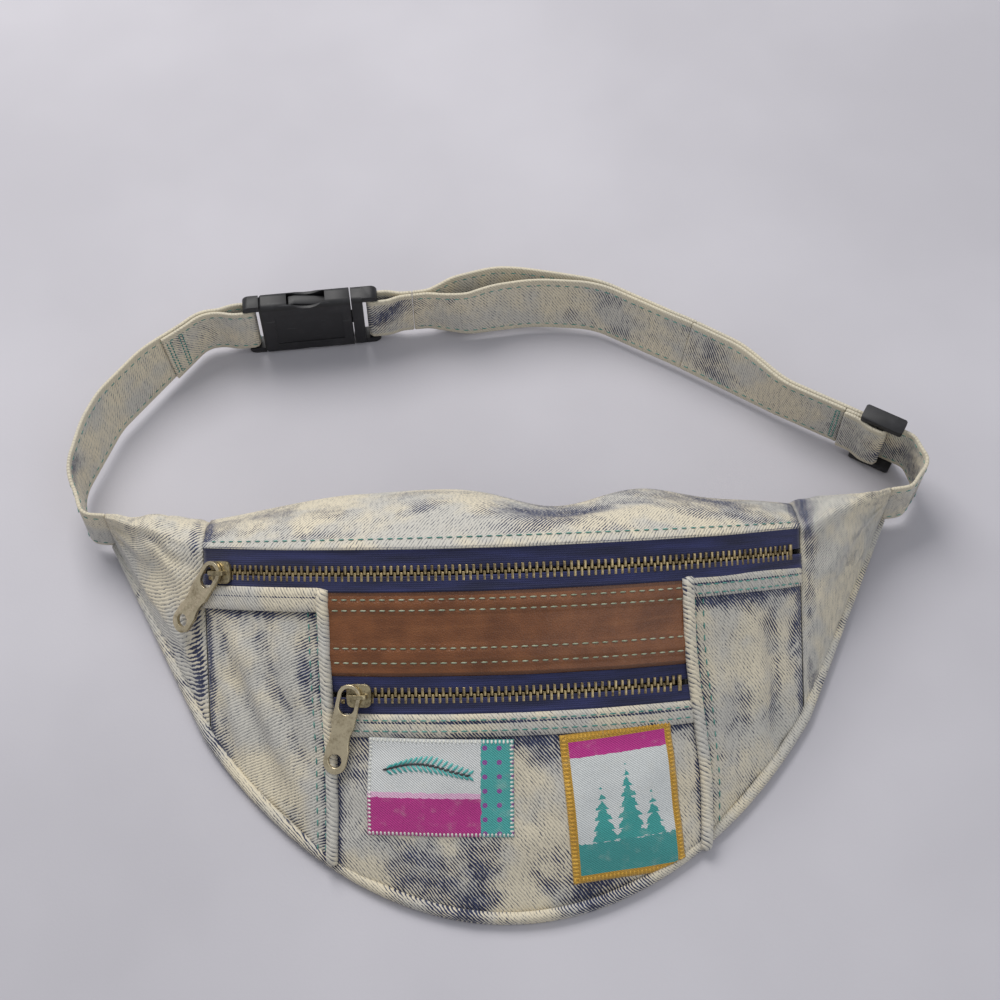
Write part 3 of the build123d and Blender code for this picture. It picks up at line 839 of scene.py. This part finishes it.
def strap(name, line, body, nodes=(), wave=0.0, cuts=None, puff=0.0):
    """A ribbon on edge along line. Its UV map is its length and its width."""
    lengths = [0.0]
    for p, q in zip(line, line[1:]):
        lengths.append(lengths[-1] + (q - p).length)
    total = lengths[-1]

    def at(length):
        last = len(lengths) - 1
        i = next((k for k in range(1, last + 1) if lengths[k] >= length - 1e-9), last)
        share = (length - lengths[i - 1]) / max(1e-9, lengths[i] - lengths[i - 1])
        ahead = (line[min(i + 1, len(line) - 1)] - line[max(i - 2, 0)]).normalized()
        return line[i - 1].lerp(line[i], share), Vector((-ahead.y, ahead.x))

    def place(length, across):
        p, side = at(length)
        ends = step(min(length, total - length), 0, 12 * MM)
        share = across / STRAP_WIDE - 0.5
        lean = noise.noise(Vector((length * 22, 1.7, len(name)))) * wave * ends
        bow = puff * (4 * share * share - 0.5)
        middle = Vector((0, 0.12)) - p
        away = -side if side.dot(middle) > 0 else side
        p = p + side * (lean * (0.4 + share) + bow * ends) + away * lean_out(p) * (share + 0.5)
        high = STRAP_LOW + across + wave * 0.4 * ends * noise.noise(Vector((length * 18, 4, 2)))
        return Vector((p.x, p.y, high))

    def wear_and_shade(a, b, length, across):
        folded = abs(b - 0.5) > 0.40
        return 0.22 * noise.noise(Vector((length * 50, across * 90, 3))) + 0.2 * folded

    piece = cloth(name, max(4, int(total / (1.6 * MM))), 10,
                  lambda a, b: (a * total, b * STRAP_WIDE), place, denim_strap, body=body,
                  nodes=nodes, wear_and_shade=wear_and_shade, thick=1.5 * MM)
    piece.modifiers["thickness"].offset = 0
    bend = piece.modifiers.new("rounded edge", "BEVEL")
    bend.width, bend.segments, bend.limit_method = 0.55 * MM, 2, "ANGLE"
    bend.angle_limit = math.radians(60)
    return piece, at, place, total


corner = spot(BUCKLE, -48, LAYER / 2)
left_run = [(-158.2 * MM, 84 * MM), (-168 * MM, 85 * MM), (-174 * MM, 106 * MM),
            (-160 * MM, 140 * MM), corner, spot(BUCKLE, -40, LAYER / 2)]
turn_back = [spot(BUCKLE, -33.5, BAR_T), spot(BUCKLE, -BAR_U, BAR_T),
             spot(BUCKLE, -BAR_U, -BAR_T), spot(BUCKLE, -33.5, -BAR_T)]
hem_start = tuple(Vector(corner) * 0.62 + Vector(left_run[3]) * 0.38)
hem = beside([hem_start, corner, spot(BUCKLE, -40, LAYER / 2)], -LAYER * MM)[::-1]
radii = [r * MM for r in (6, 22, 30, 12, 8, 8, 1.5, 1.5, 8, 8, 10.3)]
left_line = rounded(left_run + turn_back + hem, radii)
left_piece, left_at, left_place, left_total = strap("strap_left", left_line, None, ("left_strap",))
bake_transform(left_piece)

male_line = rounded([spot(BUCKLE, u, t) for u, t in (
    (44, LAYER / 2), (39, LAYER / 2), (33, BAR_T), (BAR_U, BAR_T), (BAR_U, -BAR_T), (33, -BAR_T),
    (39, -LAYER / 2), (44, -LAYER / 2))], [r * MM for r in (8, 8, 1.5, 1.5, 8, 8)])
strap("strap_male_loop", male_line, "buckle_male", ("male_strap_loop",))

glide_end = spot(GLIDE, 14, 0)
outer = [(158.2 * MM, 84 * MM), (167 * MM, 85 * MM), (175 * MM, 96 * MM), glide_end,
         spot(GLIDE, -45, 0), (80 * MM, 166.5 * MM), (46 * MM, 187 * MM), (8 * MM, 196 * MM),
         (-16 * MM, 195.5 * MM), spot(BUCKLE, 51, LAYER / 2), spot(BUCKLE, 44.2, LAYER / 2)]
outer_line = rounded(outer, [r * MM for r in (6, 8, 5, 60, 60, 40, 60, 14, 10)])
together = beside(outer[3:7], LAYER * MM)
inner = [spot(GLIDE, -16.2, -LAYER)] + together[1:3] + [
    together[3], (18.7 * MM, 188.2 * MM), (-10 * MM, 185 * MM), spot(BUCKLE, 51, -LAYER / 2),
    spot(BUCKLE, 44.2, -LAYER / 2)]
inner_line = rounded(inner, [r * MM for r in (60, 60, 34, 70, 20, 12)])


def parted(line, x):
    """The line cut in two where it first crosses x going left."""
    k = next(i for i, p in enumerate(line) if i > 12 and p.x < x)
    return line[:k + 1], line[k:]


MEET_X = 84 * MM
belt_runs = {}
for name, line, node in (("outer", outer_line, "adjust_strap"),
                         ("inner", inner_line, "adjust_strap_return")):
    near, far = parted(line, MEET_X)
    piece, *belt_runs[name + "_near"] = strap(f"strap_{name}_near", near, None, (node,))
    if name == "outer":
        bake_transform(piece)
    else:
        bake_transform(piece)
    piece, *belt_runs[name + "_far"] = strap(f"strap_{name}_far", far, None, wave=1.4 * MM)
    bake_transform(piece)

loop_line = rounded([spot(GLIDE, s, t) for s, t in (
    (-16, -LAYER), (2.45, -LAYER), (2.45, -5.3), (-4, -5.3), (-9.5, -2 * LAYER),
    (-16, -2 * LAYER))], [r * MM for r in (1.7, 1.7, 6, 6)])
strap("strap_glide_loop", loop_line, "triglide", ("adjuster_loop",))
print("strap lengths", round(left_total, 3), [round(v[2], 3) for v in belt_runs.values()])

# %% [markdown]
# ## Stitches
# Every stitch is one small bead, longer than it is wide, sunk a little into
# the cloth. All the beads of one thread are one mesh. A bead has 20 faces,
# which is enough at its size.

# %% Beads of thread


def thread(name, first, second):
    b = Bench(name)
    here = b.place()
    twist = b.noise(here, 1500, 2)
    age = b.noise(here, 60, 3)
    colour = b.blend((twist * 0.5 + age * 0.5).ramp(0.35, 0.65), first, second)
    return b.surface(colour, 0.7, b.bump(twist, 0.0001, 0.8), Sheen_Weight=0.3)


class Sewing:
    """Collects the beads of one thread."""

    def __init__(self):
        self.bm = bmesh.new()

    def bead(self, at, along, outwards, length, radius=0.34 * MM):
        along = along.normalized()
        side = outwards.cross(along).normalized()
        turn = Matrix((along * length / 2, side * radius, outwards.normalized() * radius * 0.8))
        made = bmesh.ops.create_icosphere(self.bm, subdivisions=1, radius=1.0)["verts"]
        bmesh.ops.transform(self.bm, matrix=Matrix.Translation(at) @ turn.transposed().to_4x4(),
                            verts=made)

    def row(self, place, points, stitch=2.9 * MM, gap=0.8 * MM, radius=0.34 * MM):
        """Stitches along a line of pattern points."""
        for (s0, w0), (s1, w1) in zip(points, points[1:]):
            far = math.hypot(s1 - s0, w1 - w0)
            count = max(1, round(far / (stitch + gap)))
            for i in range(count):
                t = (i + 0.5) / count
                s, w = mix(s0, s1, t), mix(w0, w1, t)
                d = 0.5 * MM
                p = place(s, w)
                ahead = place(s + (s1 - s0) / far * d, w + (w1 - w0) / far * d) - p
                across = place(s - (w1 - w0) / far * d, w + (s1 - s0) / far * d) - p
                self.bead(p, ahead, ahead.cross(across), stitch * rng.uniform(0.9, 1.05), radius)

    def done(self, name, body, material, slot):
        bmesh.ops.recalc_face_normals(self.bm, faces=self.bm.faces)
        return finish_piece(self.bm, name, body, material, (), slot)


def raised(height):
    return lambda s, w: panel_point()(s, w, height)


teal_thread = thread("teal_thread", shade(44, 116, 108), shade(96, 160, 148))
pale_thread = thread("pale_green_thread", shade(128, 142, 116), shade(176, 182, 156))
white_thread = thread("white_thread", shade(206, 206, 196), shade(236, 236, 228))

sewing = Sewing()
for row in LEATHER_ROWS:
    sewing.row(lambda s, w: leather_place(s, w) + OUTWARDS * 0.25 * MM,
               [(-POCKET_S + 3 * MM, row), (POCKET_S - 2 * MM, row)])
sewing.done("stitches_leather", "pack", pale_thread, "leather")

sewing = Sewing()
for w in (HEM_TOP - 2.6 * MM, HEM_TOP - 6.6 * MM):
    sewing.row(raised(1.1 * MM), [(-POCKET_S + 3 * MM, w), (pocket_edge(1, w) - 3 * MM, w)])
for side in (-1, 1):
    for w in (-9.0 * MM, -12.2 * MM):
        sewing.row(raised(0.95 * MM),
                   [(side * (POCKET_S + 3 * MM), w), (side * (SEAM_S - 2 * MM), w)])
    for off in (2.9 * MM, 6.4 * MM):
        line = [(pocket_edge(side, w) + side * off, w)
                for w in [mix(-13 * MM, floor_w(POCKET_S) + 3 * MM, i / 10) for i in range(11)]]
        sewing.row(raised(0.15 * MM), line)
sewing.row(lambda x, l: top_place(x, l) + Vector((0, 0.1, 0.3)) * MM,
           [(-SEAM_X + 3 * MM, 3.4 * MM), (0, 3.4 * MM), (SEAM_X - 3 * MM, 3.4 * MM)])
sewing.done("stitches_teal", "pack", teal_thread, "washed_denim")

# %% Strap stitches and bar tacks


def sew_strap(name, runs, body, blend=None, tacks=()):
    """Two rows on each face of a strap, and short bars across it."""
    sewing = Sewing()
    at, place, total = runs
    for face in (-1, 1):
        def beside_strap(length, across, face=face):
            p, side = at(max(0, min(total, length)))
            q = place(max(0, min(total, length)), across)
            return q + Vector((side.x, side.y, 0)) * face * 0.8 * MM

        for across in (2.6 * MM, STRAP_WIDE - 2.6 * MM):
            n = max(2, int(total / (8 * MM)))
            sewing.row(beside_strap,
                       [(total * (0.01 + 0.98 * i / n), across) for i in range(n + 1)],
                       2.6 * MM, 0.9 * MM, 0.3 * MM)
        for where in tacks:
            for j in (0, 1):
                sewing.row(beside_strap,
                           [(where + j * 1.6 * MM, 3 * MM), (where + j * 1.6 * MM, 22 * MM)],
                           1.7 * MM, 0.2 * MM, 0.42 * MM)
    piece = sewing.done(name, None if blend else body, teal_thread, "washed_denim")
    if blend:
        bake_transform(piece)
    return piece


sew_strap("stitches_strap_left", (left_at, left_place, left_total), None,
          ("pack", "belt", (-0.158, 0.083, 0.0165), (-0.171, 0.101, 0.0165)),
          (left_total - 3 * MM, left_total - 9 * MM))
sew_strap("stitches_outer_near", belt_runs["outer_near"], None,
          ("pack", "belt", (0.158, 0.083, 0.0165), (0.172, 0.100, 0.0165)))
sew_strap("stitches_outer_far", belt_runs["outer_far"], None,
          ("belt", "buckle_male", (0.082, 0.165, 0.0165), (-0.024, 0.190, 0.0165)))
sew_strap("stitches_inner_near", belt_runs["inner_near"], None,
          ("belt", "triglide", (0.086, 0.163, 0.0165), (0.146, 0.125, 0.0165)), (2 * MM,))
sew_strap("stitches_inner_far", belt_runs["inner_far"], None,
          ("belt", "buckle_male", (0.082, 0.165, 0.0165), (-0.024, 0.190, 0.0165)))

# %% [markdown]
# ## Two sewn patches
# Each patch is a small embroidered cloth with a satin border and a plain,
# made-up picture: a sprig on one and three fir trees on the other. The fields
# of colour are drawn on the pattern, and the threads of the border are beads.

# %% Patches


def embroidered(name, paint):
    b = Bench(name)
    where, s, w = b.flat()
    rows = (s * 900 + w * 1100 + b.noise(where, 300, 2) * 0.6).wave()
    soft = b.noise(where, 170, 4, 0.6)
    colour = paint(b, s, w, where)
    colour = b.blend(soft.ramp(0.5, 0.8) * 0.25, colour, shade(224, 220, 206))
    # The dark grey between the rows of thread is painted shade in their grooves.
    colour = b.blend((1 - rows) * 0.22, colour, shade(40, 44, 48))
    return b.surface(colour, 0.72, b.bump(rows + soft, 0.0002, 0.9), Sheen_Weight=0.3)


def within(x, low, high):
    return (x > low) * (x < high)


def paint_sprig(b, s, w, where):
    """White above, magenta below and a teal band at the right."""
    ragged = (b.noise(where, 420, 2) - 0.5) * 1.6 * MM
    colour = b.blend((w + ragged) < 15 * MM, shade(226, 228, 226), shade(196, 42, 140))
    colour = b.blend(within(w + ragged, 14.2 * MM, 16.2 * MM), colour, shade(240, 190, 220))
    colour = b.blend((s + ragged) > 42 * MM, colour, shade(74, 178, 172))
    dots = ((s * 190).wave() * (w * 190).wave()) > 0.72
    return b.blend(dots * ((s + ragged) > 42 * MM), colour, shade(150, 80, 160))


def paint_firs(b, s, w, where):
    """A mustard border, magenta head, three firs and a teal foot."""
    ragged = (b.noise(where, 520, 3) - 0.5) * 3.2 * MM
    colour = shade(226, 230, 228)
    for x, top, spread in ((13, 37, 0.24), (23, 45, 0.20), (32, 33, 0.26)):
        tier = (w * 260).maths("FRACT") * 1.6 * MM
        half = (w * -spread + top * spread * MM) + ragged - tier
        away = (s - x * MM).maths("ABSOLUTE")
        fir = (away < half) * (w > 15 * MM) * (w < top * MM)
        colour = b.blend(fir, colour, shade(62, 170, 164))
    colour = b.blend((w + ragged) < 15 * MM, colour, shade(62, 160, 156))
    colour = b.blend(within(w + ragged * 0.3, 47 * MM, 56 * MM), colour, shade(204, 44, 146))
    edge = (s < 3 * MM).maths("MAXIMUM", s > 40 * MM).maths("MAXIMUM", w < 3 * MM)
    edge = edge.maths("MAXIMUM", w > 53 * MM)
    return b.blend(edge, colour, shade(206, 158, 44))


mustard_thread = thread("mustard_thread", shade(190, 140, 36), shade(226, 180, 70))
dark_thread = thread("dark_thread", shade(24, 26, 30), shade(52, 54, 58))
leaf_thread = thread("leaf_thread", shade(44, 150, 146), shade(98, 190, 184))


def sew_patch(name, node, centre, size, lean, paint, border, overlap):
    """A patch with its lower left corner at the pattern's (0, 0)."""
    (cs, cw), (wide, high) = centre, size
    c, t = math.cos(math.radians(lean)), math.sin(math.radians(lean))

    def laid(a, b, out=0.8 * MM):
        x, y = a - wide / 2, b - high / 2
        s, w = cs + x * c - y * t, cw + x * t + y * c
        w = max(w, floor_w(s, 3.2 * MM))
        near = min(a, wide - a, b, high - b)
        return panel_point()(s, w, out - 0.5 * MM * math.exp(-((near / (1.0 * MM)) ** 2)))

    cloth(name, 60, 60, lambda a, b: (a * wide, b * high), laid, embroidered(name, paint),
          nodes=(node,), slot=node, thick=0.7 * MM)
    sewing = Sewing()
    for x0, y0, x1, y1 in ((0, 0, wide, 0), (wide, 0, wide, high),
                           (wide, high, 0, high), (0, high, 0, 0)):
        far = math.hypot(x1 - x0, y1 - y0)
        inwards = Vector((-(y1 - y0), x1 - x0)).normalized()
        count = int(far / (1.45 * MM))
        for i in range(count):
            x, y = mix(x0, x1, (i + 0.5) / count), mix(y0, y1, (i + 0.5) / count)
            p = laid(x, y, 0.6 * MM)
            q = laid(x + inwards.x * overlap, y + inwards.y * overlap, 1.0 * MM)
            along = q - p
            length = along.length * rng.uniform(1.0, 1.3)
            sewing.bead((p + q) / 2, along, OUTWARDS, length, 0.5 * MM)
    sewing.done(f"{name}_border", "pack", border, node)
    return laid


sprig = sew_patch("patch_sprig", "patch_left", (-26.5 * MM, -79.0 * MM), (54 * MM, 36 * MM), -1.5,
                  paint_sprig, white_thread, 1.5 * MM)
firs = sew_patch("patch_firs", "patch_right", (41 * MM, -87.5 * MM), (43 * MM, 56 * MM), 4.0,
                 paint_firs, mustard_thread, 2.4 * MM)
stem, leaves = Sewing(), Sewing()
for i in range(17):
    a = mix(7, 37, i / 16) * MM
    high = (24.5 + 2.2 * math.sin(i * 0.25)) * MM
    stem.bead(sprig(a, high, 0.95 * MM), sprig(a + MM, high + 0.15 * MM) - sprig(a, high), OUTWARDS,
              2.8 * MM, 0.5 * MM)
    for side in (-1, 1):
        tip = (a + 2.6 * MM, high + side * (3.6 - abs(i - 8) * 0.2) * MM)
        p, q = sprig(a, high, 0.85 * MM), sprig(*tip, 0.85 * MM)
        leaves.bead((p + q) / 2, q - p, OUTWARDS, (q - p).length, 0.55 * MM)
stem.done("sprig_stem", "pack", dark_thread, "patch_left")
leaves.done("sprig_leaves", "pack", leaf_thread, "patch_left")

# %% [markdown]
# ## The pocket's lining
# Behind the pocket's zip a shallow cotton bag hangs. It is hidden while the
# zips are shut, so the CAD tray stays and only gets a plain weave.

# %% Lining


def cotton():
    b = Bench("lining_cotton")
    here = b.place()
    weave = b.noise(b.stretched(here, (1800, 300, 900)), 1.0, 2)
    colour = b.blend(weave.ramp(0.35, 0.65), shade(120, 116, 104), shade(150, 146, 132))
    return b.surface(colour, 0.9, b.bump(weave, 0.0001, 0.6))


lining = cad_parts["pocket_lining"]
lining.data.materials.clear()
lining.data.materials.append(cotton())

# %% [markdown]
# ## Table, light and camera
# The pack lies on a pale table in the light of a cloudy window. One broad lamp
# gives soft shadows that fall towards the viewer, and a weaker lamp on the
# other side and the sky fill them.

# %% Table
bm = bmesh.new()
bmesh.ops.create_grid(bm, x_segments=1, y_segments=1, size=1.6)
bench = Bench("pale_table")
here = bench.place()
soft = bench.noise(here, 5, 4, 0.5)
table_colour = bench.blend(soft.ramp(0.3, 0.7), shade(182, 180, 186), shade(194, 192, 198))
bench.surface(table_colour, 0.9, bench.bump(bench.noise(here, 900, 2), 0.0001, 0.3))
floor = finish_piece(bm, "table", None, bench.material)

# %% Light


def lamp(name, at, aim, size, power, colour=(1, 1, 1)):
    light = bpy.data.lights.new(name, "AREA")
    light.size, light.energy, light.color = size, power, colour
    made = bpy.data.objects.new(name, light)
    made.location = at
    made.rotation_euler = (Vector(aim) - Vector(at)).to_track_quat("-Z", "Y").to_euler()
    bpy.context.scene.collection.objects.link(made)


lamp("window", (-0.35, 0.75, 0.95), (0, 0.05, 0), 0.7, 11.5, (1.0, 0.98, 0.96))
lamp("room", (0.7, -0.4, 0.9), (0, 0.05, 0), 1.2, 3.0, (0.95, 0.97, 1.0))
world = bpy.data.worlds.new("sky")
world.use_nodes = True
world.node_tree.nodes["Background"].inputs["Color"].default_value = (0.93, 0.95, 1.0, 1.0)
world.node_tree.nodes["Background"].inputs["Strength"].default_value = 0.42
bpy.context.scene.world = world

# %% Camera
lens = bpy.data.cameras.new("camera")
lens.lens, lens.sensor_width = 60.5, 36
camera = bpy.data.objects.new("camera", lens)
camera.location = (-0.0129, -0.2528, 0.614)
camera.rotation_euler = (math.radians(30), 0, math.radians(-2.2))
bpy.context.scene.collection.objects.link(camera)
bpy.context.scene.camera = camera
bpy.context.scene.view_settings.view_transform = "Standard"
